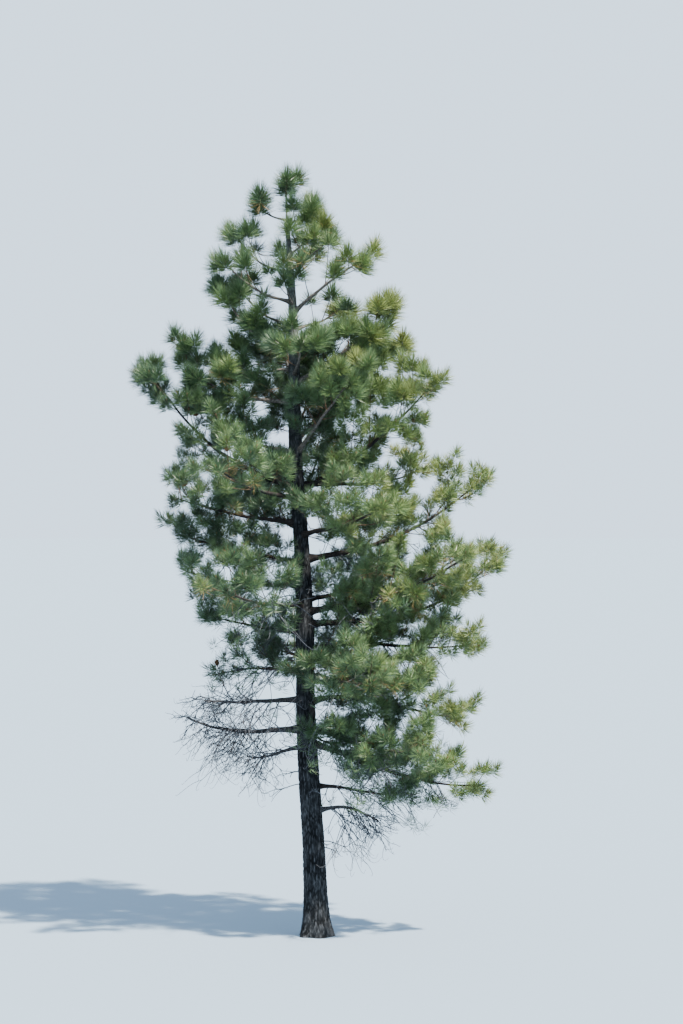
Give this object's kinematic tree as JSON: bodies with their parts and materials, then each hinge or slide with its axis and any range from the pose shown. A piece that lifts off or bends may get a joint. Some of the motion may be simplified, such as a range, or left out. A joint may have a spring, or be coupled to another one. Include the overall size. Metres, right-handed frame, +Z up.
{
  "type": "pine tree",
  "caption": "Young open-grown pine with a tapered leaning trunk, up-turned boughs and long needles held in tufts, with dead limbs low on the left.",
  "frame": {"origin": "centre of the flat cut under the trunk at ground level", "axes": "+Z up along the trunk, +X to the right of the side that the picture shows, +Y to the back"},
  "size_m": [6.0136, 5.0421, 12.0056],
  "materials": {
    "trunk_bark": "rough, plated, grey-brown bark",
    "bough_bark": "scaly grey-brown bark",
    "needles": "satin green needles",
    "dead_twigs": "bare weathered grey wood"
  },
  "bodies": {
    "root": {"trunk": "trunk_bark", "bough_broken_bough": "bough_bark", "bough_long_left_2": "bough_bark", "bough_long_left_3": "bough_bark", "bough_long_right_2": "bough_bark", "bough_long_right_3": "bough_bark", "bough_long_right_4": "bough_bark", "bough_long_right_5": "bough_bark", "twigs_dead_left_1": "dead_twigs", "twigs_dead_left_2": "dead_twigs", "twigs_dead_left_3": "dead_twigs", "needles_head_back": "needles", "needles_head_front": "needles", "needles_head_left_1": "needles", "needles_head_left_2": "needles", "needles_head_right": "needles", "needles_leader": "needles", "needles_level_right": "needles", "needles_long_left_1": "needles", "needles_long_left_2": "needles", "needles_long_left_3": "needles", "needles_long_left_4": "needles", "needles_long_right_1": "needles", "needles_long_right_2": "needles", "needles_long_right_3": "needles", "needles_long_right_4": "needles", "needles_long_right_5": "needles", "needles_low_front": "needles", "needles_low_right_1": "needles", "needles_low_right_2": "needles", "needles_lower_back": "needles", "needles_lower_front": "needles", "needles_lower_left_1": "needles", "needles_lower_left_2": "needles", "needles_lower_right_1": "needles", "needles_lower_right_2": "needles", "needles_lower_right_3": "needles", "needles_lowest_right": "needles", "needles_middle_back_1": "needles", "needles_middle_back_2": "needles", "needles_middle_back_3": "needles", "needles_middle_front_1": "needles", "needles_middle_front_2": "needles", "needles_middle_front_3": "needles", "needles_middle_left_1": "needles", "needles_middle_left_2": "needles", "needles_short_left": "needles", "needles_shoulder_back": "needles", "needles_shoulder_front": "needles", "needles_shoulder_left": "needles", "needles_top_front": "needles", "needles_top_left": "needles", "needles_top_right": "needles", "needles_upper_back": "needles", "needles_upper_front": "needles", "needles_upper_left": "needles", "needles_upper_right": "needles", "needles_upswept_back": "needles", "needles_upswept_front": "needles", "needles_upswept_right": "needles"}
  },
  "joints": []
}
